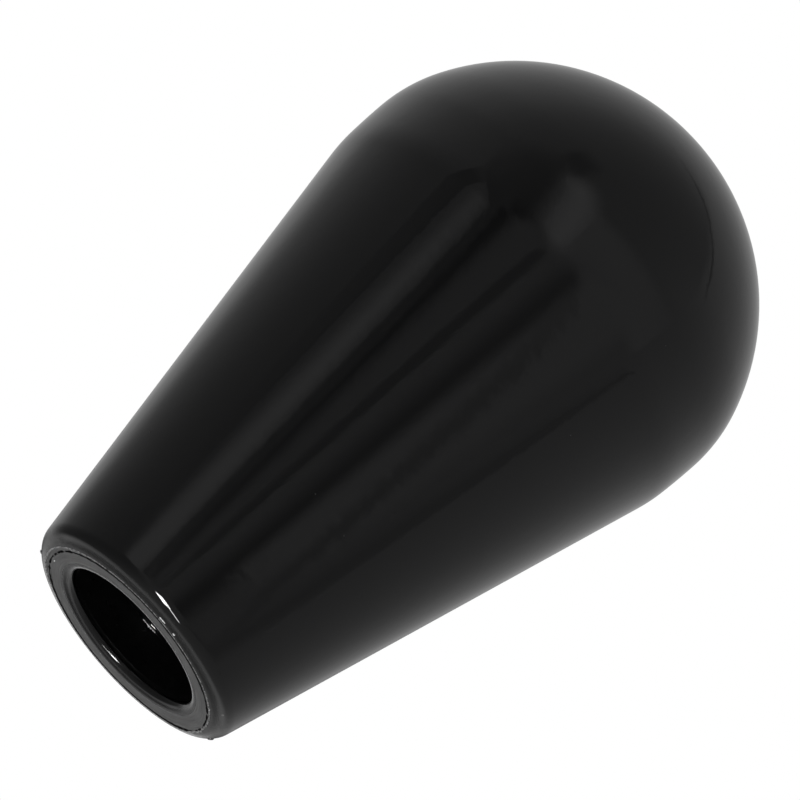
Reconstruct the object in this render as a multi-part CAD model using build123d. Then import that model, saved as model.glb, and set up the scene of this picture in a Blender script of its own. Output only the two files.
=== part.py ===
from build123d import *

import math
import os

# A pear-shaped lever handle. It is one moulding of black phenolic plastic round a steel insert with a
# blind tapped hole, into which the end of the lever screws.
# Millimetres. The origin is the centre of the flat end face, and +Z runs along the axis to the dome.

# Outside of the moulding
END_DIAMETER = 27.35  # where the taper would meet the end face, before the lip is rounded
LIP_RADIUS = 2.0  # rounding between the end face and the taper
HEAD_DIAMETER = 50.0  # widest circle of the head
HEAD_HEIGHT = 59.3  # from the end face to the widest circle
BELT_RADIUS = 83.0  # long arc that makes the belt below the widest circle almost cylindrical
BELT_ANGLE = 3.0  # degrees that the belt turns through below the widest circle
SHOULDER_RADIUS = 18.0  # tight arc between the taper and the belt
DOME_EDGE_RADIUS = 16.9  # arc from the widest circle up to the crown
CROWN_DROP = 3.0  # how far the centre of the crown's arc lies below the widest circle

# Socket for the shoulder of the lever, in the end face
SOCKET_DIAMETER = 17.5
SOCKET_DEPTH = 5.5
MOUTH_RADIUS = 0.9  # rounding of the socket's mouth

# Fine ring line where the faced part of the end face stops
RING_DIAMETER = 23.0
RING_WIDTH = 0.3
RING_DEPTH = 0.15

# Steel insert, turned from hexagonal bar. Its face is flush with the floor of the socket, because the
# core pin of the mould presses on it there.
INSERT_LENGTH = 24.0
COLLAR_DIAMETER = 16.0  # round collar that seals the mould at the floor of the socket
COLLAR_LENGTH = 2.0
HEXAGON_WIDTH = 17.0  # across the flats, which stop the insert from turning
GROOVE_DIAMETER = 14.5  # groove that the plastic locks into
GROOVE_WIDTH = 5.0

# Tapped hole, M12, drawn at the minor diameter of its thread
THREAD_DIAMETER = 12.0
THREAD_PITCH = 1.75
THREAD_LENGTH = 17.0
COUNTERSINK_MARGIN = 0.3  # how much wider than the thread the countersink is, on the radius
DRILL_POINT_ANGLE = 118.0  # included angle of the cone at the bottom of the hole

END_RADIUS = END_DIAMETER / 2
HEAD_RADIUS = HEAD_DIAMETER / 2
SOCKET_RADIUS = SOCKET_DIAMETER / 2
RING_RADIUS = RING_DIAMETER / 2
MINOR_RADIUS = (THREAD_DIAMETER - 1.0825 * THREAD_PITCH) / 2


def point_on(centre, radius, angle):
    """The point of a circle at an angle in degrees, measured from the outward direction up to the axis."""
    turned = math.radians(angle)
    return (centre[0] + radius * math.cos(turned), centre[1] + radius * math.sin(turned))


def arc(centre, radius, start, end):
    """An arc of the half profile, from one angle to another."""
    return CenterArc(centre, radius, start, end - start)


def turned_solid(edges):
    """The solid that a closed half profile, drawn as (radius, height), sweeps round the axis."""
    return revolve(Plane.XZ * make_face(Wire(edges)), Axis.Z, 360)


def shoulder():
    """The centre of the shoulder's arc and the taper's half angle in degrees.

    The shoulder lies inside the belt's circle and touches it, and the taper is the tangent that runs to the
    shoulder from the corner of the end face.
    """
    belt_centre = (HEAD_RADIUS - BELT_RADIUS, HEAD_HEIGHT)
    centre = point_on(belt_centre, BELT_RADIUS - SHOULDER_RADIUS, -BELT_ANGLE)
    across = centre[0] - END_RADIUS
    distance = math.hypot(across, centre[1])
    half_angle = math.atan2(across, centre[1]) + math.asin(SHOULDER_RADIUS / distance)
    return centre, math.degrees(half_angle)


def outside_edges():
    """The outside of the half profile from the lip to the crown, where the lip starts, and the top."""
    shoulder_centre, half_angle = shoulder()
    slope = math.tan(math.radians(half_angle))
    lip_reach = LIP_RADIUS / math.cos(math.radians(half_angle))
    lip_centre = (END_RADIUS + LIP_RADIUS * slope - lip_reach, LIP_RADIUS)
    belt_centre = (HEAD_RADIUS - BELT_RADIUS, HEAD_HEIGHT)
    dome_centre = (HEAD_RADIUS - DOME_EDGE_RADIUS, HEAD_HEIGHT)
    crown_turn = math.degrees(math.atan2(CROWN_DROP, dome_centre[0]))
    crown_centre = (0, HEAD_HEIGHT - CROWN_DROP)
    crown_radius = DOME_EDGE_RADIUS + math.hypot(dome_centre[0], CROWN_DROP)
    taper_start = point_on(lip_centre, LIP_RADIUS, -half_angle)
    taper_end = point_on(shoulder_centre, SHOULDER_RADIUS, -half_angle)
    edges = [
        arc(lip_centre, LIP_RADIUS, -90, -half_angle),
        Line(taper_start, taper_end),
        arc(shoulder_centre, SHOULDER_RADIUS, -half_angle, -BELT_ANGLE),
        arc(belt_centre, BELT_RADIUS, -BELT_ANGLE, 0),
        arc(dome_centre, DOME_EDGE_RADIUS, 0, crown_turn),
        arc(crown_centre, crown_radius, crown_turn, 90),
    ]
    return edges, lip_centre[0], crown_centre[1] + crown_radius


def end_edges(lip_start):
    """The socket, its rounded mouth and the end face with its ring line, from the axis out to the lip."""
    mouth_centre = (SOCKET_RADIUS + MOUTH_RADIUS, MOUTH_RADIUS)
    ring_inside = RING_RADIUS - RING_WIDTH / 2
    ring_outside = RING_RADIUS + RING_WIDTH / 2
    return [
        Line((0, SOCKET_DEPTH), (SOCKET_RADIUS, SOCKET_DEPTH)),
        Line((SOCKET_RADIUS, SOCKET_DEPTH), (SOCKET_RADIUS, MOUTH_RADIUS)),
        arc(mouth_centre, MOUTH_RADIUS, 180, 270),
        Line((mouth_centre[0], 0), (ring_inside, 0)),
        Line((ring_inside, 0), (RING_RADIUS, RING_DEPTH)),
        Line((RING_RADIUS, RING_DEPTH), (ring_outside, 0)),
        Line((ring_outside, 0), (lip_start, 0)),
    ]


def insert_blank():
    """The insert before it is drilled: a round collar, and a hexagonal bar with a turned groove halfway."""
    hexagon = RegularPolygon(HEXAGON_WIDTH / 2, 6, major_radius=False)
    land = (INSERT_LENGTH - COLLAR_LENGTH - GROOVE_WIDTH) / 2
    lengths = [
        (Circle(COLLAR_DIAMETER / 2), COLLAR_LENGTH),
        (hexagon, land),
        (Circle(GROOVE_DIAMETER / 2), GROOVE_WIDTH),
        (hexagon, land),
    ]
    blank = Part()
    bottom = SOCKET_DEPTH
    for section, length in lengths:
        blank += extrude(Plane.XY.offset(bottom) * section, length)
        bottom += length
    return blank


def tapped_hole():
    """The blind hole: a countersink, the tapped length and the cone that the drill leaves."""
    mouth_radius = THREAD_DIAMETER / 2 + COUNTERSINK_MARGIN
    thread_start = SOCKET_DEPTH + mouth_radius - MINOR_RADIUS
    thread_end = thread_start + THREAD_LENGTH
    cone = MINOR_RADIUS / math.tan(math.radians(DRILL_POINT_ANGLE / 2))
    outline = Polyline(
        (0, SOCKET_DEPTH),
        (mouth_radius, SOCKET_DEPTH),
        (MINOR_RADIUS, thread_start),
        (MINOR_RADIUS, thread_end),
        (0, thread_end + cone),
        close=True,
    )
    return turned_solid(outline.edges())


def handle_body(blank):
    """The moulding, with a seat that fits the insert's collar, hexagon and groove all over."""
    outside, lip_start, top = outside_edges()
    axis = Line((0, top), (0, SOCKET_DEPTH))
    moulding = turned_solid([*end_edges(lip_start), *outside, axis])
    return moulding - blank


def threaded_insert(blank):
    """The steel insert."""
    return blank - tapped_hole()


if __name__ == "__main__":
    os.makedirs("parts", exist_ok=True)
    blank = insert_blank()
    nodes = {
        "handle_body": handle_body(blank),
        "threaded_insert": threaded_insert(blank),
    }
    for name, shape in nodes.items():
        export_step(shape.solid(), f"parts/{name}.step")
        print(name, round(shape.volume, 1), "mm3 in", len(shape.solids()), "solid")
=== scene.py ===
import math

import bpy
from mathutils import Matrix, Vector
from mathutils import noise as grain

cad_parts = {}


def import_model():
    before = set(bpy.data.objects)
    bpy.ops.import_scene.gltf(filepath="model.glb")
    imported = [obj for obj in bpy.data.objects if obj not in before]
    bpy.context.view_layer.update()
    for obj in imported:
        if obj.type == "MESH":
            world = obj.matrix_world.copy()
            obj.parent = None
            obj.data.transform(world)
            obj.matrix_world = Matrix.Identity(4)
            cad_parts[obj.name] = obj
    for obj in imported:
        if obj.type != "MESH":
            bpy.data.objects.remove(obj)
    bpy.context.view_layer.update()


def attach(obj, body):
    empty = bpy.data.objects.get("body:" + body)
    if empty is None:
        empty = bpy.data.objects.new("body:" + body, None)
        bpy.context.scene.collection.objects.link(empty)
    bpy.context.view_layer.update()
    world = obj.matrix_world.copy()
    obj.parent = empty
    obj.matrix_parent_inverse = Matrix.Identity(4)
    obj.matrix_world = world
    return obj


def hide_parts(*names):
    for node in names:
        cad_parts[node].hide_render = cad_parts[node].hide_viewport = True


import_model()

# The looks of a pear-shaped lever handle: a polished black phenolic moulding round a steel insert.
# Lengths are in metres, in the frame of the solids: the end face lies at z = 0 and +Z runs to the dome.
# An azimuth is in degrees round the axis, from +X to +Y. The camera stands on the -Y side, and the far
# side is the +Y side. The sizes of the solids repeat those of part.py, which this script can't read.
MM = 0.001

# Outside of the moulding
END_RADIUS = 13.675 * MM  # where the taper would meet the end face, before the lip is rounded
LIP_RADIUS = 2.0 * MM  # rounding between the end face and the taper
HEAD_RADIUS = 25.0 * MM
HEAD_HEIGHT = 59.3 * MM  # from the end face to the widest circle
BELT_RADIUS = 83.0 * MM  # long arc of the almost cylindrical belt below the widest circle
BELT_ANGLE = 3.0  # degrees that the belt turns through
SHOULDER_RADIUS = 18.0 * MM  # tight arc between the taper and the belt
DOME_EDGE_RADIUS = 16.9 * MM  # arc from the widest circle up to the crown
CROWN_DROP = 3.0 * MM  # how far the centre of the crown's arc lies below the widest circle

# Socket and end face
SOCKET_RADIUS = 8.75 * MM
SOCKET_DEPTH = 5.5 * MM
MOUTH_RADIUS = 0.9 * MM  # rounding of the socket's mouth
RING_RADIUS = 11.5 * MM  # rough line where the facing stops
RING_WIDTH = 0.3 * MM
RING_DEPTH = 0.15 * MM
RING_OFF_CENTRE = 0.3 * MM  # how far the line strays towards the lip on the far side
RING_BULGE = 0.35 * MM  # how far it strays further at one place
RING_BULGE_AT = 22  # azimuth of that place
RING_GRAIN = 0.6 * MM  # size of its rough places

# Wear and rough places on the end face
FACING_START = 9.95 * MM  # inside this radius the face kept its moulded gloss
BURR_RADIUS = 11.82 * MM  # chipped burr where the lip starts
BURR_BULGE = 0.32 * MM  # how far it strays outwards at one place
BURR_BULGE_AT = 165  # azimuth of that place
BURR_GAP = 0.08 * MM  # least land between the ring line and the burr
BURR_FOOT = 0.05 * MM  # how far short of the burr the flat face ends
BURR_WIDTH = 0.13 * MM
BURR_HEIGHT = 0.09 * MM
BURR_TOP = 0.13 * MM  # no tooth of it stands higher than this
BURR_END_HEIGHT = 0.002 * MM  # how far the lip has risen where the burr ends
LIP_BLEND = (12.14 * MM, 0.011 * MM)  # radius and height between the burr and the lip's arc
LIP_BLEND_GAP = 0.18 * MM  # least way from the burr to there
LIP_ARC_START = -80  # where the lip's arc takes over, in degrees: the end face would be at -90
WORN_HEIGHT = 0.6 * MM  # how far up the lip is scuffed
WALL_LINE_DEPTH = 1.3 * MM  # fine raised line in the socket's wall, this far from the end face
WALL_LINE_HALF_WIDTH = 0.05 * MM
WALL_LINE_HEIGHT = 0.025 * MM
WALL_LINE_AT = 75  # azimuth where it stands highest

# Nibs, chips and dust are small rounded lumps with a rough surface
LUMP_ROUGHNESS = 0.25
LUMP_GRAIN = 0.12 * MM
LIP_NIBS = (
    # azimuth, turn on the lip (both in degrees), half length along the lip, half width over it and height
    (160.7, 45, 0.14 * MM, 0.24 * MM, 0.13 * MM),
    (14.0, 54, 0.18 * MM, 0.38 * MM, 0.14 * MM),
)
# Chips on the rim, coloured near-white as painted glints of light
GLINT_CHIPS = (
    # azimuth in degrees, radius of the place, half length round the rim, half width and height
    (173.2, 11.15 * MM, 0.08 * MM, 0.07 * MM, 0.1 * MM),
    (-87.7, 12.4 * MM, 0.16 * MM, 0.08 * MM, 0.07 * MM),
    (-86.3, 12.42 * MM, 0.2 * MM, 0.06 * MM, 0.06 * MM),
    (-85.1, 12.42 * MM, 0.16 * MM, 0.04 * MM, 0.05 * MM),
    (-77.9, 12.45 * MM, 0.15 * MM, 0.08 * MM, 0.08 * MM),
    (-25.0, 11.95 * MM, 0.08 * MM, 0.04 * MM, 0.1 * MM),
)
LIP_DUST = (
    # azimuth and turn on the lip in degrees, radius of the speck
    (-25, 41, 0.13 * MM),
)
SPECKS = (
    # azimuth in degrees, height above the end face, radius of the speck
    (-69, 19.2 * MM, 0.09 * MM),
    (-152, 13.8 * MM, 0.09 * MM),
    (-53, 44.3 * MM, 0.08 * MM),
    (-86, 19.4 * MM, 0.07 * MM),
    (-58, 57.5 * MM, 0.08 * MM),
)

# Torn flash at the bottom of the socket: a jagged ridge in the corner of its floor and one on the insert's
# face, both coloured paler than they really are, as painted glints. Each has the azimuth of its middle,
# half its span in degrees, inner and outer radius and height.
CORNER_TEAR = (87.6, 6.4, 8.46 * MM, 8.74 * MM, 0.15 * MM)
INSERT_TEAR = (85.0, 3.4, 7.6 * MM, 7.74 * MM, 0.1 * MM)
TEAR_ROOT = 0.02 * MM  # how far it reaches below the surface that it stands on
TEAR_CREST = 0.4  # share of the ridge's width where its crest starts from
TEAR_LEAN = 0.3  # share of its height by which the crest leans outwards
TEAR_TEETH = 0.16 * MM  # size of its teeth
TEAR_SWELL = 0.7 * MM  # size of its higher and lower stretches
TEAR_STEPS = 80

# Insert
INSERT_LENGTH = 24.0 * MM
COLLAR_RADIUS = 8.0 * MM
COLLAR_LENGTH = 2.0 * MM
HEXAGON_WIDTH = 17.0 * MM  # across the flats
GROOVE_RADIUS = 7.25 * MM
GROOVE_WIDTH = 5.0 * MM
THREAD_RADIUS = 6.0 * MM
THREAD_PITCH = 1.75 * MM
THREAD_DEPTH = 0.54125 * THREAD_PITCH
THREAD_LENGTH = 17.0 * MM
THREAD_CREST = 1 / 4  # share of the pitch that the flat crest takes
THREAD_FLANK = 5 / 16  # and each flank
THREAD_RUN_OUT = 1.2  # turns over which the thread fades at its inner end
COUNTERSINK_MARGIN = 0.3 * MM
DRILL_HALF_ANGLE = 59.0

# Fineness of the meshes
BODY_SEGMENTS = 768
INSERT_SEGMENTS = 144
ROWS_PER_PITCH = 20

# Slots of the materials of the moulding, the insert and the dust, in the order of their lists
POLISHED, FACED, MOULDED, BORE, GROOVE, BURR, WORN, PAINTED_GLINT = range(8)
TURNED, TORN_GLINT = range(2)
DUST_ON_SIDE, DUST_ON_LIP = range(2)

PHENOLIC_BLACK = (0.002, 0.002, 0.0021, 1)
PHENOLIC_IOR = 1.6

# The photograph's camera: the point on the axis that it was fitted to, how it sees it, and where that
# point lies in the picture
AIM_HEIGHT = 41.0 * MM
VIEW_DISTANCE = 0.9
VIEW_ELEVATION = -20.598  # degrees above the end face's plane
AXIS_TURN = 40.868  # degrees that the axis rises to the right in the picture
PIXELS = 800
PIXELS_PER_METRE = 9614.0
AIM_PIXEL = (411.7, 394.4)
SENSOR_WIDTH = 36.0

FLOOR_DROP = 0.15 * MM  # how far the floor lies below the end face, clear of the burr
FLOOR_HALF = 3.0
FLOOR_LEVEL = 0.86

# The studio round the handle. Directions are degrees right of and above the camera, seen from the handle.
TENT_RADIUS = 8.0
TENT_AXIS = (24, 4)  # direction in which the tent is darkest
TENT_EDGE = 109  # degrees from there to the edge of its dim part
TENT_EDGE_BLUR = 22  # degrees that the edge is blurred to each side
TENT_NEAR = 0.18  # level in the darkest direction
TENT_SIDE = 0.30  # level at the edge
TENT_STEP = 0.06  # what the edge adds
TENT_BACK = 0.14  # what the way from the edge to the back adds
SHEET_DISTANCE = 1.6  # of the first sheet
SHEET_STEP = 0.02  # how much nearer each next one stands
SHEET_CELLS = 28
sheets = []


def view_axes():
    """The photograph's right, up and towards-the-camera directions."""
    tilt = math.radians(VIEW_ELEVATION)
    turn = math.radians(AXIS_TURN)
    toward = Vector((0, -math.cos(tilt), math.sin(tilt)))
    along = Vector((0, math.sin(tilt), math.cos(tilt)))
    across = Vector((-1, 0, 0))
    right = along * math.cos(turn) - across * math.sin(turn)
    up = along * math.sin(turn) + across * math.cos(turn)
    return right, up, toward


def facing(right, up, toward, place):
    """The matrix of something at a place whose own X, Y and Z are the three directions."""
    turned = Matrix((right, up, toward)).transposed().to_4x4()
    return Matrix.Translation(place) @ turned


def direction_at(across, height):
    """The direction that many degrees right of and above the camera, seen from the handle."""
    right, up, toward = view_axes()
    away = math.hypot(across, height)
    if away == 0:
        return toward
    side = (right * across + up * height) / away
    return toward * math.cos(math.radians(away)) + side * math.sin(math.radians(away))


def round_axes(azimuth):
    """The directions away from the axis and round it, at an azimuth."""
    around = math.radians(azimuth)
    radial = Vector((math.cos(around), math.sin(around), 0))
    along = Vector((-math.sin(around), math.cos(around), 0))
    return radial, along


def arc_rows(centre, radius, start, end, steps, skip_first=True):
    """Points of an arc of the half profile as (radius, height), angles in degrees."""
    rows = []
    for step in range(1 if skip_first else 0, steps + 1):
        angle = math.radians(start + (end - start) * step / steps)
        rows.append((centre[0] + radius * math.cos(angle), centre[1] + radius * math.sin(angle)))
    return rows


def line_rows(start, end, steps):
    """Points of a straight stretch of the half profile, without its first."""
    rows = []
    for step in range(1, steps + 1):
        share = step / steps
        rows.append((start[0] + (end[0] - start[0]) * share, start[1] + (end[1] - start[1]) * share))
    return rows


def outside_rows():
    """The outside of the half profile from the lip to the top, and the radius of the lip's own centre."""
    belt_centre = (HEAD_RADIUS - BELT_RADIUS, HEAD_HEIGHT)
    belt_turn = math.radians(BELT_ANGLE)
    reach = BELT_RADIUS - SHOULDER_RADIUS
    shoulder_centre = (
        belt_centre[0] + reach * math.cos(belt_turn),
        belt_centre[1] - reach * math.sin(belt_turn),
    )
    across = shoulder_centre[0] - END_RADIUS
    distance = math.hypot(across, shoulder_centre[1])
    half = math.atan2(across, shoulder_centre[1]) + math.asin(SHOULDER_RADIUS / distance)
    half_angle = math.degrees(half)
    lip_centre = (
        END_RADIUS + LIP_RADIUS * math.tan(half) - LIP_RADIUS / math.cos(half),
        LIP_RADIUS,
    )
    dome_centre = (HEAD_RADIUS - DOME_EDGE_RADIUS, HEAD_HEIGHT)
    crown_turn = math.degrees(math.atan2(CROWN_DROP, dome_centre[0]))
    crown_centre = (0, HEAD_HEIGHT - CROWN_DROP)
    crown_radius = DOME_EDGE_RADIUS + math.hypot(dome_centre[0], CROWN_DROP)
    rows = arc_rows(lip_centre, LIP_RADIUS, LIP_ARC_START, -half_angle, steps=15, skip_first=False)
    shoulder = arc_rows(shoulder_centre, SHOULDER_RADIUS, -half_angle, -BELT_ANGLE, steps=6, skip_first=False)
    rows += line_rows(rows[-1], shoulder[0], steps=6)
    rows += shoulder[1:]
    rows += arc_rows(belt_centre, BELT_RADIUS, -BELT_ANGLE, 0, steps=5)
    rows += arc_rows(dome_centre, DOME_EDGE_RADIUS, 0, crown_turn, steps=10)
    rows += arc_rows(crown_centre, crown_radius, crown_turn, 90, steps=34)
    return rows, lip_centre[0]


def radius_at(rows, height):
    """How far the outside lies from the axis at a height."""
    for low, high in zip(rows, rows[1:]):
        if low[1] <= height <= high[1]:
            share = (height - low[1]) / (high[1] - low[1])
            return low[0] + (high[0] - low[0]) * share
    return 0


def hexagon_radius(angle):
    """How far the hexagon's outline lies from the axis at an angle in radians, with a corner at 0."""
    sector = math.radians(60)
    off_flat = (angle % sector) - sector / 2
    return HEXAGON_WIDTH / 2 / math.cos(off_flat)


def seat_rows():
    """The outside of the insert from its face to its back. A radius may be a function of the angle."""
    land = (INSERT_LENGTH - COLLAR_LENGTH - GROOVE_WIDTH) / 2
    height = SOCKET_DEPTH
    rows = []
    for radius, length in (
        (COLLAR_RADIUS, COLLAR_LENGTH),
        (hexagon_radius, land),
        (GROOVE_RADIUS, GROOVE_WIDTH),
        (hexagon_radius, land),
    ):
        rows.append((radius, height))
        height += length
        rows.append((radius, height))
    return rows


def at_angle(value, angle):
    """A number as it is, or what a function of the angle gives."""
    return value(angle) if callable(value) else value


class Shell:
    """A mesh made of closed surfaces, with the slot of each face's material."""

    def __init__(self):
        self.vertices = []
        self.faces = []
        self.materials = []

    def add(self, face, material):
        self.faces.append(face)
        self.materials.append(material)

    def lump(self, place, axes, radii, material):
        """Adds a small rounded lump with its own half sizes. Its three axes are right-handed."""
        rings, columns = 6, 10
        first = len(self.vertices)
        for ring in range(rings + 1):
            polar = math.pi * ring / rings
            for column in range(1 if ring in (0, rings) else columns):
                around = 2 * math.pi * column / columns
                shares = (
                    math.sin(polar) * math.cos(around),
                    math.sin(polar) * math.sin(around),
                    math.cos(polar),
                )
                reach = Vector((0, 0, 0))
                for axis, radius, share in zip(axes, radii, shares):
                    reach += axis * radius * share
                rough = 1 + LUMP_ROUGHNESS * grain.noise((Vector(place) + reach) / LUMP_GRAIN)
                self.vertices.append(tuple(Vector(place) + reach * rough))
        last = len(self.vertices) - 1
        for ring in range(rings):
            upper = first + 1 + (ring - 1) * columns
            lower = upper + columns
            for column in range(columns):
                after = (column + 1) % columns
                if ring == 0:
                    face = (first, lower + column, lower + after)
                elif ring == rings - 1:
                    face = (upper + column, last, upper + after)
                else:
                    face = (upper + column, lower + column, lower + after, upper + after)
                self.add(face, material)

    def build(self, name, materials, sharp_angle):
        """The finished object, its edges sharp where its faces meet at more than an angle in degrees."""
        mesh = bpy.data.meshes.new(name)
        mesh.from_pydata(self.vertices, [], self.faces)
        for material in materials:
            mesh.materials.append(material)
        mesh.polygons.foreach_set("material_index", self.materials)
        mesh.shade_smooth()
        mesh.set_sharp_from_angle(angle=math.radians(sharp_angle))
        mesh.validate()
        piece = bpy.data.objects.new(name, mesh)
        bpy.context.scene.collection.objects.link(piece)
        return piece


class Lathe(Shell):
    """A shell turned from rows of points round the axis, each row with the material of its strip."""

    def __init__(self, segments):
        super().__init__()
        self.segments = segments
        self.last = None

    def row(self, radius, height, material):
        """Adds a ring and the strip that joins it to the last one. A ring of radius 0 is one point."""
        if radius == 0:
            ring = [len(self.vertices)]
            self.vertices.append((0, 0, height))
        else:
            ring = []
            for index in range(self.segments):
                angle = 2 * math.pi * index / self.segments
                here = at_angle(radius, angle)
                level = at_angle(height, angle)
                ring.append(len(self.vertices))
                self.vertices.append((here * math.cos(angle), here * math.sin(angle), level))
        if self.last is not None:
            self.join(self.last, ring, material)
        self.last = ring

    def join(self, lower, upper, material):
        """Adds the strip of faces between two rings."""
        for index in range(self.segments):
            after = (index + 1) % self.segments
            if len(lower) == 1:
                face = (lower[0], upper[after], upper[index])
            elif len(upper) == 1:
                face = (lower[index], lower[after], upper[0])
            else:
                face = (lower[index], lower[after], upper[after], upper[index])
            self.add(face, material)


def grey(level):
    """A grey as a colour."""
    return (level, level, level, 1)


def new_material(name):
    """An empty material, its node tree and its output node."""
    material = bpy.data.materials.new(name)
    material.use_nodes = True
    tree = material.node_tree
    tree.nodes.clear()
    output = tree.nodes.new("ShaderNodeOutputMaterial")
    return material, tree, output


def principled(name):
    """A material of one Principled shader, its node tree and the shader's inputs."""
    material, tree, output = new_material(name)
    shader = tree.nodes.new("ShaderNodeBsdfPrincipled")
    tree.links.new(shader.outputs[0], output.inputs["Surface"])
    return material, tree, shader.inputs


def math_node(tree, operation, first, second=None):
    """A Math node on sockets or numbers; gives its output socket."""
    node = tree.nodes.new("ShaderNodeMath")
    node.operation = operation
    for socket, value in zip(node.inputs, (first, second)):
        if value is None:
            continue
        if isinstance(value, bpy.types.NodeSocket):
            tree.links.new(value, socket)
        else:
            socket.default_value = value
    return node.outputs[0]


def remap(tree, value, start, end, low, high, smooth=False):
    """A Map Range node that clamps; gives its output socket."""
    node = tree.nodes.new("ShaderNodeMapRange")
    node.interpolation_type = "SMOOTHSTEP" if smooth else "LINEAR"
    tree.links.new(value, node.inputs["Value"])
    for name, number in (("From Min", start), ("From Max", end), ("To Min", low), ("To Max", high)):
        node.inputs[name].default_value = number
    return node.outputs["Result"]


def noise(tree, place, size, detail, roughness=0.5):
    """Soft noise from 0 to 1, whose patches have about that size in metres."""
    node = tree.nodes.new("ShaderNodeTexNoise")
    node.inputs["Scale"].default_value = 1 / size
    node.inputs["Detail"].default_value = detail
    node.inputs["Roughness"].default_value = roughness
    tree.links.new(place, node.inputs["Vector"])
    return node.outputs["Fac"]


def object_place(tree):
    """The place of a point in the object's own frame."""
    return tree.nodes.new("ShaderNodeTexCoord").outputs["Object"]


def bump(tree, height, strength, distance):
    """A normal that follows a height from 0 to 1, with its real depth in metres."""
    node = tree.nodes.new("ShaderNodeBump")
    node.inputs["Strength"].default_value = strength
    node.inputs["Distance"].default_value = distance
    tree.links.new(height, node.inputs["Height"])
    return node.outputs["Normal"]


def blend(tree, share, first, second):
    """A colour between two colours, by a share from 0 to 1."""
    mix = tree.nodes.new("ShaderNodeMix")
    mix.data_type = "RGBA"
    mix.inputs["A"].default_value = first
    mix.inputs["B"].default_value = second
    tree.links.new(share, mix.inputs["Factor"])
    return mix.outputs["Result"]


def axis_radius(tree, place):
    """How far a place lies from the axis, and its own X, Y and Z."""
    parts = tree.nodes.new("ShaderNodeSeparateXYZ")
    tree.links.new(place, parts.inputs[0])
    square_x = math_node(tree, "MULTIPLY", parts.outputs["X"], parts.outputs["X"])
    square_y = math_node(tree, "MULTIPLY", parts.outputs["Y"], parts.outputs["Y"])
    radius = math_node(tree, "SQRT", math_node(tree, "ADD", square_x, square_y))
    return radius, parts.outputs


def turning_marks(tree, place, pitch):
    """Even concentric turning marks round the axis."""
    radius = axis_radius(tree, place)[0]
    wave = math_node(tree, "SINE", math_node(tree, "MULTIPLY", radius, 2 * math.pi / pitch))
    return math_node(tree, "MULTIPLY_ADD", wave, 0.5)


def uneven_marks(tree, place, size):
    """Uneven concentric tool marks round the axis, that follow a rounded edge too."""
    radius, parts = axis_radius(tree, place)
    stretch = 0.03
    join = tree.nodes.new("ShaderNodeCombineXYZ")
    tree.links.new(math_node(tree, "SUBTRACT", radius, parts["Z"]), join.inputs["X"])
    tree.links.new(math_node(tree, "MULTIPLY", parts["X"], stretch), join.inputs["Y"])
    tree.links.new(math_node(tree, "MULTIPLY", parts["Y"], stretch), join.inputs["Z"])
    return noise(tree, join.outputs[0], size, 3.0, 0.6)


def polished_phenolic():
    """The gloss of the outside, with a faint haze and orange peel."""
    material, tree, inputs = principled("phenolic_polished")
    inputs["Base Color"].default_value = PHENOLIC_BLACK
    inputs["IOR"].default_value = PHENOLIC_IOR
    place = object_place(tree)
    haze = noise(tree, place, 1 / 90, 4.0)
    tree.links.new(remap(tree, haze, 0.3, 0.7, 0.03, 0.05), inputs["Roughness"])
    peel = noise(tree, place, 1.6 * MM, 2.0)
    tree.links.new(bump(tree, peel, 0.2, 0.05 * MM), inputs["Normal"])
    return material


def faced_phenolic():
    """The matt ring that a facing cut left on the end, with its concentric marks."""
    material, tree, inputs = principled("phenolic_faced")
    inputs["IOR"].default_value = PHENOLIC_IOR
    place = object_place(tree)
    marks = uneven_marks(tree, place, 0.11 * MM)
    patches = noise(tree, place, 0.5 * MM, 4.0, 0.6)
    tree.links.new(remap(tree, patches, 0.3, 0.7, 0.4, 0.5), inputs["Roughness"])
    strong_marks = math_node(tree, "MULTIPLY", marks, 0.7)
    mixed = math_node(tree, "ADD", strong_marks, math_node(tree, "MULTIPLY", patches, 0.3))
    shade = remap(tree, mixed, 0.4, 0.6, 0, 1)
    tree.links.new(blend(tree, shade, grey(0.02), (0.085, 0.085, 0.084, 1)), inputs["Base Color"])
    tree.links.new(bump(tree, marks, 0.5, 0.02 * MM), inputs["Normal"])
    return material


def moulded_phenolic():
    """The gloss that the mould left round the socket's mouth, with faint tool rings."""
    material, tree, inputs = principled("phenolic_moulded")
    inputs["Base Color"].default_value = PHENOLIC_BLACK
    inputs["IOR"].default_value = PHENOLIC_IOR
    marks = uneven_marks(tree, object_place(tree), 0.35 * MM)
    tree.links.new(remap(tree, marks, 0.3, 0.7, 0.05, 0.13), inputs["Roughness"])
    tree.links.new(bump(tree, marks, 0.5, 0.01 * MM), inputs["Normal"])
    return material


def bore_black():
    """The socket's wall and floor: black, with a dull film from the mould."""
    material, tree, inputs = principled("phenolic_bore")
    inputs["IOR"].default_value = PHENOLIC_IOR
    inputs["Specular IOR Level"].default_value = 0.12
    film = noise(tree, object_place(tree), 0.8 * MM, 4.0, 0.6)
    tree.links.new(remap(tree, film, 0.3, 0.7, 0.25, 0.4), inputs["Roughness"])
    tree.links.new(blend(tree, film, grey(0.001), grey(0.0025)), inputs["Base Color"])
    return material


def groove_black():
    """The inside of the ring line, too narrow for light to get in."""
    material, tree, inputs = principled("phenolic_groove")
    inputs["Specular IOR Level"].default_value = 0.15
    rough = noise(tree, object_place(tree), 0.2 * MM, 3.0)
    tree.links.new(remap(tree, rough, 0.3, 0.7, 0.5, 0.8), inputs["Roughness"])
    tree.links.new(blend(tree, rough, grey(0.001), grey(0.006)), inputs["Base Color"])
    return material


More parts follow.
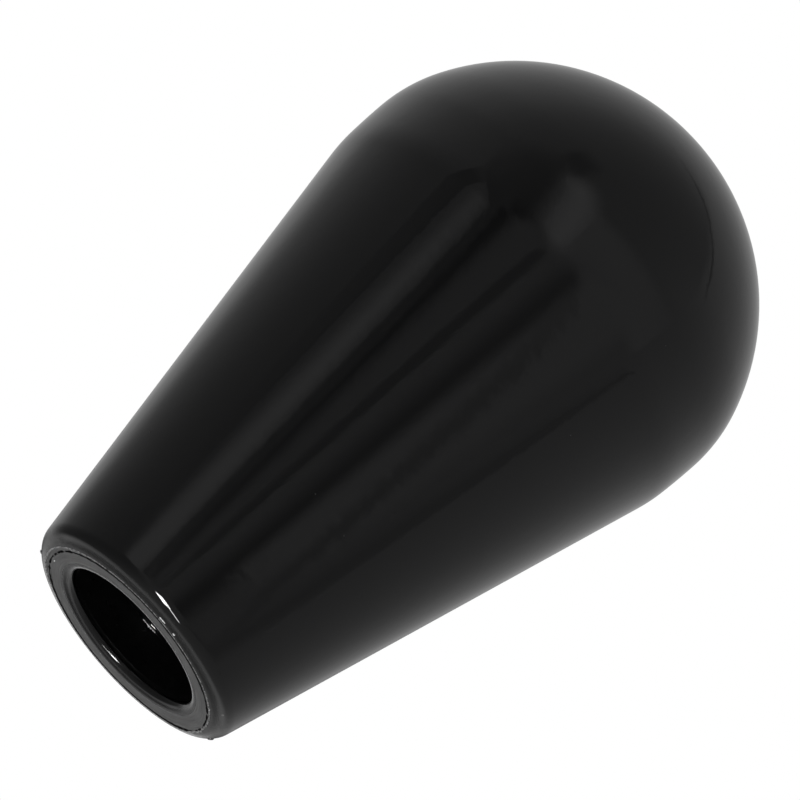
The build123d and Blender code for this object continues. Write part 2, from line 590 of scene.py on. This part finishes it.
def burr_grey():
    """Torn phenolic on the burr and the nibs: paler than the gloss, with small shiny facets."""
    material, tree, inputs = principled("phenolic_burr")
    inputs["IOR"].default_value = PHENOLIC_IOR
    rough = noise(tree, object_place(tree), 0.3 * MM, 3.0)
    tree.links.new(remap(tree, rough, 0.3, 0.7, 0.15, 0.4), inputs["Roughness"])
    shade = remap(tree, rough, 0.35, 0.65, 0, 1)
    tree.links.new(blend(tree, shade, grey(0.01), grey(0.22)), inputs["Base Color"])
    return material


def worn_phenolic():
    """The lip's gloss where handling and the facing tool rubbed it: fine scuffs along the rim."""
    material, tree, inputs = principled("phenolic_worn")
    inputs["IOR"].default_value = PHENOLIC_IOR
    place = object_place(tree)
    marks = uneven_marks(tree, place, 0.12 * MM)
    specks = noise(tree, place, 0.14 * MM, 2.0, 0.6)
    tree.links.new(remap(tree, specks, 0.45, 0.75, 0.06, 0.3), inputs["Roughness"])
    shade = remap(tree, specks, 0.5, 0.75, 0, 1)
    tree.links.new(blend(tree, shade, grey(0.003), grey(0.02)), inputs["Base Color"])
    tree.links.new(bump(tree, marks, 0.5, 0.006 * MM), inputs["Normal"])
    return material


def painted_glint_chip():
    """Near-white colour of small chips and a torn ridge, paler than the phenolic really is: painted glints of
    light.
    """
    material, tree, inputs = principled("phenolic_painted_glint")
    inputs["Roughness"].default_value = 0.3
    shade = noise(tree, object_place(tree), 0.1 * MM, 2.0)
    # painted glint: near-white tones from 0.6 to 0.95
    tree.links.new(blend(tree, shade, grey(0.6), grey(0.95)), inputs["Base Color"])
    return material


def dust_grey(name, dark, pale):
    """Dust, between a dark and a pale grey."""
    material, tree, inputs = principled(name)
    inputs["Roughness"].default_value = 0.9
    shade = noise(tree, object_place(tree), 0.1 * MM, 2.0)
    tree.links.new(blend(tree, shade, grey(dark), grey(pale)), inputs["Base Color"])
    return material


def turned_steel():
    """Black oxide on turned steel, with fine turning marks and a little grime."""
    material, tree, inputs = principled("steel_turned")
    inputs["Metallic"].default_value = 1.0
    place = object_place(tree)
    marks = turning_marks(tree, place, 0.16 * MM)
    grime = noise(tree, place, 1 / 900, 5.0, 0.6)
    shade = remap(tree, grime, 0.4, 0.75, 0, 1)
    clean = (0.09, 0.09, 0.095, 1)
    grimy = (0.05, 0.048, 0.045, 1)
    tree.links.new(blend(tree, shade, clean, grimy), inputs["Base Color"])
    tree.links.new(remap(tree, grime, 0.3, 0.7, 0.24, 0.4), inputs["Roughness"])
    tree.links.new(bump(tree, marks, 0.3, 0.02 * MM), inputs["Normal"])
    return material


def torn_steel_glint():
    """Bare steel where the insert's face tore, in a colour paler than real steel: its real reflections plus a
    painted glint.
    """
    material, tree, inputs = principled("steel_torn_painted_glint")
    inputs["Metallic"].default_value = 1.0
    rough = noise(tree, object_place(tree), 0.15 * MM, 3.0)
    tree.links.new(remap(tree, rough, 0.3, 0.7, 0.3, 0.5), inputs["Roughness"])
    # painted glint: a colour of 0.8 to 0.96, paler than steel really is
    tree.links.new(blend(tree, rough, grey(0.8), (0.96, 0.96, 0.95, 1)), inputs["Base Color"])
    return material


def wobble(angle, radius, size, seed):
    """Smooth unevenness round a circle, from about -1 to 1, with bumps of about that size."""
    reach = radius / size
    return grain.noise(Vector((reach * math.cos(angle), reach * math.sin(angle), seed)))


def lobe(angle, middle, power=1):
    """A smooth hump round the circle, 1 at an azimuth and 0 from a quarter turn off it."""
    return max(0, math.cos(angle - math.radians(middle))) ** power


def ring_middle(angle):
    """Where the ring line runs: a little off centre, nearest the lip on the far side."""
    off_centre = RING_OFF_CENTRE * max(0, math.sin(angle)) ** 0.7
    return RING_RADIUS + off_centre + RING_BULGE * lobe(angle, RING_BULGE_AT, 8)


def ring_half(angle):
    """Half the ring line's width: narrow and broken up towards +X and -X, even between."""
    narrowed = 1.3 - 0.8 * math.cos(angle) ** 6
    broken = 0.25 + 3.0 * math.cos(angle) ** 8
    share = 1 + broken * wobble(angle, RING_RADIUS, RING_GRAIN, 3)
    return RING_WIDTH / 2 * narrowed * min(1.6, max(0.1, share))


def ring_line(lathe):
    """The rough V-shaped line where the facing stops, twice as deep as in the solids so that it is dark."""

    def inner(angle):
        return ring_middle(angle) - ring_half(angle)

    def outer(angle):
        return ring_middle(angle) + ring_half(angle)

    lathe.row(inner, 0, FACED)
    lathe.row(ring_middle, 2 * RING_DEPTH, GROOVE)
    lathe.row(outer, 0, GROOVE)


def burr(lathe):
    """The thin chipped burr that stands on the end face where the lip starts."""

    def rim(angle):
        """Where the burr stands, always outside the ring line."""
        strayed = BURR_RADIUS + BURR_BULGE * lobe(angle, BURR_BULGE_AT, 4)
        return max(strayed, ring_middle(angle) + ring_half(angle) + BURR_GAP)

    def near_side(angle):
        """1 round most of the rim, fading out on the far side, where the burr is worn off."""
        return min(1, max(0, 1.1 - 1.4 * math.sin(angle)))

    def start(angle):
        return rim(angle) - BURR_FOOT

    def crest(angle):
        return rim(angle) + BURR_WIDTH * (0.2 + 0.5 * wobble(angle, BURR_RADIUS, 0.3 * MM, 21))

    def end(angle):
        return rim(angle) + BURR_WIDTH

    def height(angle):
        fine = wobble(angle, BURR_RADIUS, 0.2 * MM, 33)
        broad = wobble(angle, BURR_RADIUS, 1.6 * MM, 40)
        rise = min(1, max(0.03, 0.25 + 1.1 * fine + 0.9 * broad))
        swell = near_side(angle) + 2.5 * lobe(angle, BURR_BULGE_AT, 10)
        return -min(BURR_TOP, BURR_HEIGHT * rise * swell)

    def blend_start(angle):
        return max(LIP_BLEND[0], rim(angle) + LIP_BLEND_GAP)

    lathe.row(start, 0, FACED)
    lathe.row(crest, height, BURR)
    lathe.row(end, BURR_END_HEIGHT, BURR)
    lathe.row(blend_start, LIP_BLEND[1], WORN)


def torn_ridge(shell, azimuth, half_span, inner, outer, height, material):
    """A short jagged ridge that stands on the bottom of the socket, with steep facets coloured as painted
    glints.
    """
    sections = []
    for step in range(TEAR_STEPS + 1):
        share = 2 * step / TEAR_STEPS - 1
        angle = math.radians(azimuth) + math.radians(half_span) * share
        teeth = wobble(angle, inner, TEAR_TEETH, 51)
        swell = 0.55 + 0.6 * wobble(angle, inner, TEAR_SWELL, 60) + 1.2 * teeth
        rise = height * max(0.03, swell) * math.sqrt(1 - share * share)
        section = []
        for radius, level in (
            (inner, SOCKET_DEPTH + TEAR_ROOT),
            (inner + TEAR_CREST * (outer - inner) + TEAR_LEAN * rise, SOCKET_DEPTH - rise),
            (outer, SOCKET_DEPTH + TEAR_ROOT),
        ):
            section.append(len(shell.vertices))
            shell.vertices.append((radius * math.cos(angle), radius * math.sin(angle), level))
        sections.append(section)
    shell.add(tuple(sections[0]), material)
    shell.add(tuple(reversed(sections[-1])), material)
    for low, high in zip(sections, sections[1:]):
        for index in range(3):
            after = (index + 1) % 3
            shell.add((low[index], high[index], high[after], low[after]), material)


def lip_place(azimuth, turn, lip_middle):
    """A place on the lip, and the directions along it, over it and out of it, angles in degrees."""
    radial, along = round_axes(azimuth)
    tip = math.radians(turn)
    out = radial * math.sin(tip) - Vector((0, 0, math.cos(tip)))
    place = radial * lip_middle + Vector((0, 0, LIP_RADIUS)) + out * LIP_RADIUS
    return place, along, out.cross(along), out


def body_inside(lathe):
    """The insert's seat, the socket with its raised line, and the rounded mouth."""

    def wall_line(angle):
        return SOCKET_RADIUS - WALL_LINE_HEIGHT * lobe(angle, WALL_LINE_AT)

    seat = seat_rows()
    lathe.row(0, seat[-1][1], BORE)
    for radius, height in reversed(seat):
        lathe.row(radius, height, BORE)
    for radius, height in (
        (SOCKET_RADIUS, SOCKET_DEPTH),
        (SOCKET_RADIUS, WALL_LINE_DEPTH + WALL_LINE_HALF_WIDTH),
        (wall_line, WALL_LINE_DEPTH),
        (SOCKET_RADIUS, WALL_LINE_DEPTH - WALL_LINE_HALF_WIDTH),
        (SOCKET_RADIUS, MOUTH_RADIUS),
    ):
        lathe.row(radius, height, BORE)
    mouth_centre = (SOCKET_RADIUS + MOUTH_RADIUS, MOUTH_RADIUS)
    for radius, height in arc_rows(mouth_centre, MOUTH_RADIUS, 180, 270, steps=12):
        lathe.row(radius, height, MOULDED)


def handle_body():
    """The moulding: seat, socket, rounded mouth, faced end with its ring line, and the outside."""
    lathe = Lathe(BODY_SEGMENTS)
    body_inside(lathe)
    lathe.row(FACING_START, 0, MOULDED)
    for radius, height in line_rows((FACING_START, 0), (RING_RADIUS - RING_WIDTH, 0), steps=3):
        lathe.row(radius, height, FACED)
    ring_line(lathe)
    burr(lathe)
    outside, lip_middle = outside_rows()
    for radius, height in outside[:-1]:
        lathe.row(radius, height, WORN if height < WORN_HEIGHT else POLISHED)
    lathe.row(0, outside[-1][1], POLISHED)
    for azimuth, turn, reach, width, height in LIP_NIBS:
        place, along, over, out = lip_place(azimuth, turn, lip_middle)
        lathe.lump(place, (along, over, out), (reach, width, height), BURR)
    # painted glint: the corner ridge takes the near-white colour
    torn_ridge(lathe, *CORNER_TEAR, PAINTED_GLINT)
    down = Vector((0, 0, -1))
    # painted glint: the chips take the near-white colour too
    for azimuth, radius, reach, width, height in GLINT_CHIPS:
        radial, along = round_axes(azimuth)
        lathe.lump(radial * radius, (along, radial, down), (reach, width, height), PAINTED_GLINT)
    materials = [
        polished_phenolic(),
        faced_phenolic(),
        moulded_phenolic(),
        bore_black(),
        groove_black(),
        burr_grey(),
        worn_phenolic(),
        painted_glint_chip(),
    ]
    piece = lathe.build("moulding", materials, sharp_angle=35)
    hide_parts("handle_body")
    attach(piece, "root")


def dust():
    """The few specks of dust that lie on the gloss."""
    shell = Shell()
    rows, lip_middle = outside_rows()
    up = Vector((0, 0, 1))
    for azimuth, height, size in SPECKS:
        out, along = round_axes(azimuth)
        place = out * radius_at(rows, height) + up * height
        shell.lump(place, (along, up, out), (size, size, size / 2), DUST_ON_SIDE)
    for azimuth, turn, size in LIP_DUST:
        place, along, over, out = lip_place(azimuth, turn, lip_middle)
        shell.lump(place, (along, over, out), (size, size, size / 4), DUST_ON_LIP)
    materials = [dust_grey("dust_on_side", 0.01, 0.03), dust_grey("dust_on_lip", 0.1, 0.18)]
    piece = shell.build("dust", materials, sharp_angle=60)
    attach(piece, "root")


def thread_radius(height, end):
    """How far the tapped wall lies from the axis, as a function of the angle, for a right-hand thread."""
    minor = THREAD_RADIUS - THREAD_DEPTH
    run_out = min(1, max(0, (end - height) / (THREAD_RUN_OUT * THREAD_PITCH)))
    countersink = THREAD_RADIUS + COUNTERSINK_MARGIN - (height - SOCKET_DEPTH)

    def at(angle):
        phase = (height / THREAD_PITCH - angle / (2 * math.pi)) % 1
        if phase < THREAD_CREST:
            share = 0
        elif phase < THREAD_CREST + THREAD_FLANK:
            share = (phase - THREAD_CREST) / THREAD_FLANK
        elif phase < 1 - THREAD_FLANK:
            share = 1
        else:
            share = (1 - phase) / THREAD_FLANK
        return max(minor + THREAD_DEPTH * share * run_out, countersink)

    return at


def threaded_insert():
    """The steel insert: drill point, right-hand thread, countersink, turned face and outside."""
    lathe = Lathe(INSERT_SEGMENTS)
    minor = THREAD_RADIUS - THREAD_DEPTH
    mouth = THREAD_RADIUS + COUNTERSINK_MARGIN
    end = SOCKET_DEPTH + mouth - minor + THREAD_LENGTH
    tip = end + minor / math.tan(math.radians(DRILL_HALF_ANGLE))
    lathe.row(0, tip, TURNED)
    for radius, height in line_rows((0, tip), (minor, end), steps=6):
        lathe.row(radius, height, TURNED)
    step = THREAD_PITCH / ROWS_PER_PITCH
    height = end - step
    while height > SOCKET_DEPTH + step / 2:
        lathe.row(thread_radius(height, end), height, TURNED)
        height -= step
    lathe.row(mouth, SOCKET_DEPTH, TURNED)
    for radius, height in line_rows((mouth, SOCKET_DEPTH), (COLLAR_RADIUS, SOCKET_DEPTH), steps=6):
        lathe.row(radius, height, TURNED)
    for radius, height in seat_rows()[1:]:
        lathe.row(radius, height, TURNED)
    lathe.row(0, SOCKET_DEPTH + INSERT_LENGTH, TURNED)
    # painted glint: the insert's ridge takes the over-pale torn steel
    torn_ridge(lathe, *INSERT_TEAR, TORN_GLINT)
    piece = lathe.build("insert", [turned_steel(), torn_steel_glint()], sharp_angle=25)
    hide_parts("threaded_insert")
    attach(piece, "root")


def camera():
    """The photograph's camera, which looks up at the end face from below it."""
    right, up, toward = view_axes()
    data = bpy.data.cameras.new("camera")
    data.sensor_width = SENSOR_WIDTH
    data.lens = SENSOR_WIDTH * PIXELS_PER_METRE * VIEW_DISTANCE / PIXELS
    data.clip_start = 0.05
    data.clip_end = 20
    off_right = (AIM_PIXEL[0] - PIXELS / 2) / PIXELS_PER_METRE
    off_up = (PIXELS / 2 - AIM_PIXEL[1]) / PIXELS_PER_METRE
    aim = Vector((0, 0, AIM_HEIGHT)) - right * off_right - up * off_up
    holder = bpy.data.objects.new("camera", data)
    holder.matrix_world = facing(right, up, toward, aim + toward * VIEW_DISTANCE)
    bpy.context.scene.collection.objects.link(holder)
    bpy.context.scene.camera = holder


def floor():
    """A pale floor that shows from above with the handle's shadow, and lets the view from below through."""
    corners = []
    for x, y in ((-1, -1), (1, -1), (1, 1), (-1, 1)):
        corners.append((x * FLOOR_HALF, y * FLOOR_HALF, -FLOOR_DROP))
    mesh = bpy.data.meshes.new("floor")
    mesh.from_pydata(corners, [], [(0, 1, 2, 3)])
    piece = bpy.data.objects.new("floor", mesh)
    bpy.context.scene.collection.objects.link(piece)
    material, tree, output = new_material("floor_pale")
    pale = tree.nodes.new("ShaderNodeBsdfDiffuse")
    pale.inputs["Color"].default_value = grey(FLOOR_LEVEL)
    clear = tree.nodes.new("ShaderNodeBsdfTransparent")
    mix = tree.nodes.new("ShaderNodeMixShader")
    camera_ray = tree.nodes.new("ShaderNodeLightPath").outputs["Is Camera Ray"]
    back = tree.nodes.new("ShaderNodeNewGeometry").outputs["Backfacing"]
    front = math_node(tree, "SUBTRACT", 1.0, back)
    shown = math_node(tree, "MULTIPLY", camera_ray, front)
    tree.links.new(shown, mix.inputs["Fac"])
    tree.links.new(clear.outputs[0], mix.inputs[1])
    tree.links.new(pale.outputs[0], mix.inputs[2])
    tree.links.new(mix.outputs[0], output.inputs["Surface"])
    mesh.materials.append(material)


def world():
    """Plain white all round: the background, and the light on everything that isn't polished."""
    scene_world = bpy.data.worlds.new("world")
    bpy.context.scene.world = scene_world
    scene_world.use_nodes = True
    scene_world.cycles.sampling_method = "NONE"
    tree = scene_world.node_tree
    tree.nodes.clear()
    output = tree.nodes.new("ShaderNodeOutputWorld")
    background = tree.nodes.new("ShaderNodeBackground")
    background.inputs["Color"].default_value = grey(1)
    background.inputs["Strength"].default_value = 1.0
    tree.links.new(background.outputs[0], output.inputs["Surface"])


def only_in_reflections(piece, material):
    """Marks something round the handle that only its gloss shows."""
    piece.data.materials.append(material)
    material.cycles.emission_sampling = "NONE"
    piece.visible_camera = False
    piece.visible_diffuse = False
    piece.visible_shadow = False
    piece.visible_volume_scatter = False
    bpy.context.scene.collection.objects.link(piece)


def tent_mesh():
    """A sphere round the tent's own axis, with a point at each end."""
    rings, columns = 48, 96
    vertices = [(0, 0, TENT_RADIUS)]
    faces = []
    for ring in range(1, rings):
        polar = math.pi * ring / rings
        for column in range(columns):
            around = 2 * math.pi * column / columns
            vertices.append((
                TENT_RADIUS * math.sin(polar) * math.cos(around),
                TENT_RADIUS * math.sin(polar) * math.sin(around),
                TENT_RADIUS * math.cos(polar),
            ))
    vertices.append((0, 0, -TENT_RADIUS))
    for column in range(columns):
        after = (column + 1) % columns
        faces.append((0, 1 + column, 1 + after))
        base = 1 + (rings - 2) * columns
        faces.append((len(vertices) - 1, base + after, base + column))
        for ring in range(rings - 2):
            low = 1 + ring * columns
            high = low + columns
            faces.append((low + column, high + column, high + after, low + after))
    mesh = bpy.data.meshes.new("tent")
    mesh.from_pydata(vertices, [], faces)
    mesh.shade_smooth()
    return mesh


def tent():
    """The light tent round the handle: dim where the camera stands, paler at the sides and behind."""
    piece = bpy.data.objects.new("tent", tent_mesh())
    dim_side = direction_at(*TENT_AXIS)
    side = dim_side.orthogonal().normalized()
    piece.matrix_world = facing(side, dim_side.cross(side), dim_side, Vector((0, 0, AIM_HEIGHT)))
    material, tree, output = new_material("tent_cloth")
    parts = tree.nodes.new("ShaderNodeSeparateXYZ")
    tree.links.new(object_place(tree), parts.inputs[0])
    along = parts.outputs["Z"]
    edge = TENT_RADIUS * math.cos(math.radians(TENT_EDGE))
    blur = TENT_RADIUS * math.sin(math.radians(TENT_EDGE)) * math.radians(TENT_EDGE_BLUR)
    near = remap(tree, along, TENT_RADIUS, edge, TENT_NEAR, TENT_SIDE)
    step = remap(tree, along, edge + blur, edge - blur, 0, TENT_STEP, smooth=True)
    back = remap(tree, along, edge, -TENT_RADIUS, 0, TENT_BACK)
    glow = tree.nodes.new("ShaderNodeEmission")
    level = math_node(tree, "ADD", math_node(tree, "ADD", near, step), back)
    tree.links.new(level, glow.inputs["Strength"])
    tree.links.new(glow.outputs[0], output.inputs["Surface"])
    only_in_reflections(piece, material)


def soft_edge(tree, place, blur):
    """How strongly a sheet shows across one of its sides: 0 at both edges, 1 in the middle."""
    off_centre = math_node(tree, "ABSOLUTE", math_node(tree, "SUBTRACT", place, 0.5))
    return remap(tree, off_centre, 0.5, 0.5 - 0.5 * blur, 0, 1, smooth=True)


def sheet_material(name, level, blur_across, blur_up):
    """A glow that fades out towards the edges of a sheet, by the shares in its UV map."""
    material, tree, output = new_material(name)
    parts = tree.nodes.new("ShaderNodeSeparateXYZ")
    tree.links.new(tree.nodes.new("ShaderNodeTexCoord").outputs["UV"], parts.inputs[0])
    edge_across = soft_edge(tree, parts.outputs["X"], blur_across)
    edge_up = soft_edge(tree, parts.outputs["Y"], blur_up)
    clear = tree.nodes.new("ShaderNodeBsdfTransparent")
    glow = tree.nodes.new("ShaderNodeEmission")
    glow.inputs["Strength"].default_value = level
    mix = tree.nodes.new("ShaderNodeMixShader")
    tree.links.new(math_node(tree, "MULTIPLY", edge_across, edge_up), mix.inputs["Fac"])
    tree.links.new(clear.outputs[0], mix.inputs[1])
    tree.links.new(glow.outputs[0], mix.inputs[2])
    tree.links.new(mix.outputs[0], output.inputs["Surface"])
    return material


def sheet(name, toward_share, level, blur_across, blur_up):
    """A lit or dark sheet with soft edges, curved round the handle and shown only in its gloss.

    toward_share gives the direction of each place on it, from shares of its width and height. Each sheet
    stands a little nearer than the one before, so a later one covers an earlier one.
    """
    distance = SHEET_DISTANCE - SHEET_STEP * len(sheets)
    vertices = []
    shares = []
    for row in range(SHEET_CELLS + 1):
        for column in range(SHEET_CELLS + 1):
            share = (column / SHEET_CELLS, row / SHEET_CELLS)
            shares.append(share)
            vertices.append(toward_share(*share) * distance)
    faces = []
    for row in range(SHEET_CELLS):
        for column in range(SHEET_CELLS):
            first = row * (SHEET_CELLS + 1) + column
            above = first + SHEET_CELLS + 1
            faces.append((first, first + 1, above + 1, above))
    mesh = bpy.data.meshes.new(name)
    mesh.from_pydata(vertices, [], faces)
    mesh.shade_smooth()
    layer = mesh.uv_layers.new(name="share")
    for loop in mesh.loops:
        layer.data[loop.index].uv = shares[loop.vertex_index]
    piece = bpy.data.objects.new(name, mesh)
    piece.location = (0, 0, AIM_HEIGHT)
    only_in_reflections(piece, sheet_material(name, level, blur_across, blur_up))
    sheets.append(piece)


def local_axes(away):
    """Level and upright directions at the place in a direction, seen from the handle."""
    right = view_axes()[0]
    side = (right - away * right.dot(away)).normalized()
    return side, away.cross(side)


def card(name, across, up, width, height, turn, level, blur_across, blur_up):
    """A flat card: where its middle is, how wide and high it looks and how far it is turned, in degrees."""
    away = direction_at(across, up)
    level_side, upright = local_axes(away)
    turned = math.radians(turn)
    side = level_side * math.cos(turned) + upright * math.sin(turned)
    rise = upright * math.cos(turned) - level_side * math.sin(turned)
    half_width = math.tan(math.radians(width / 2))
    half_height = math.tan(math.radians(height / 2))

    def toward_share(share_across, share_up):
        reach = side * half_width * (2 * share_across - 1) + rise * half_height * (2 * share_up - 1)
        return (away + reach).normalized()

    sheet(name, toward_share, level, blur_across, blur_up)


def bow(name, across, up, angle, start, end, breadth, level, blur_along, blur_over):
    """A strip along part of a circle: its axis, how far off it the strip runs, and from where to where."""
    axis = direction_at(across, up)
    side, upright = local_axes(axis)

    def toward_share(share_along, share_over):
        around = math.radians(start + (end - start) * share_along)
        polar = math.radians(angle + (share_over - 0.5) * breadth)
        flat = side * math.cos(around) + upright * math.sin(around)
        return axis * math.cos(polar) + flat * math.sin(polar)

    sheet(name, toward_share, level, blur_along, blur_over)


def studio():
    """What stands round the handle in the photograph, as its gloss shows it.

    Each card has its place, width, height and turn in degrees, its level and how much of it is blurred
    each way. Each bow has its axis, distance, start, end and breadth in degrees instead.
    """
    tent()
    card("left_wall", -77, 34, 120, 117, -54, 0.10, 0.6, 1)
    card("upper_shade", 36, 62, 120, 101, 29, 0.16, 0.2, 1)
    card("lower_right", 28, -31, 15, 53, 56, 0.15, 1, 0.1)
    card("figure", 0, 48, 29, 61, -4, 0.09, 0.1, 0.8)
    card("figure_top", -1, 41, 35, 13, 64, 0.05, 1, 0.7)
    card("left_pane", -23, 41, 16, 30, 10, 0.33, 0.7, 0.8)
    card("right_pane", 22, 40, 29, 42, -2, 0.38, 1, 0.7)
    card("dark_left_edge", -8, 35, 8, 24, 5, 0, 0.9, 0.6)
    card("chest", 2, 30, 35, 28, -2, 0.17, 0.9, 0.8)
    card("dark_mid", 5, 21, 8, 15, 100, 0.10, 0.7, 0.6)
    card("dark_right", 20, 3, 33, 28, -67, 0.07, 1, 0.5)
    card("right_light", 38, -5, 24, 44, 40, 0.24, 0.1, 0.6)
    card("fold", 35, -20, 4, 81, 17, 0.15, 1, 1)
    card("right_bar", 48, 7, 25, 60, 41, 0.25, 1, 0.1)
    card("dim_left", -26, 62, 30, 11, 6, 0.09, 0.9, 0.2)
    card("dim_right", 27, 66, 31, 18, 50, 0.10, 0.9, 0.7)
    card("dark_line", -9, 39, 3, 20, -8, 0.05, 1, 0.9)
    card("mid_line", 0, 31, 3, 26, 10, 0.17, 0.9, 1)
    card("low_shade", -86, -80, 60, 60, 0, 0.15, 0.8, 0.8)
    bow("low_glow", -79, -77, 35, -30, 245, 30, 0.65, 0.2, 1)
    card("back_glow", -121, -105, 36, 32, 0, 1.1, 0.8, 0.8)
    card("far_back", -128, -112, 25, 25, 0, 0.15, 1, 1)
    card("left_back", -158, -26, 40, 25, 0, 0.15, 1, 1)
    card("low_back", -22, -160, 26, 40, 0, 0.15, 1, 1)
    card("lip_lamp", -20, -11, 11, 17, 0, 35, 0.3, 0.4)
    card("lamp_tail", -18, -21, 4, 26, 5, 14, 0.5, 0.3)
    bow("seam_top", 19, 48, 77, 3, 57, 2.6, 0.13, 0.5, 1)
    bow("seam_low", 26, 40, 74, -58, -38, 1.8, 0.15, 0.3, 0.6)


def main():
    bpy.context.scene.view_settings.view_transform = "Standard"
    handle_body()
    threaded_insert()
    dust()
    camera()
    floor()
    world()
    studio()


main()
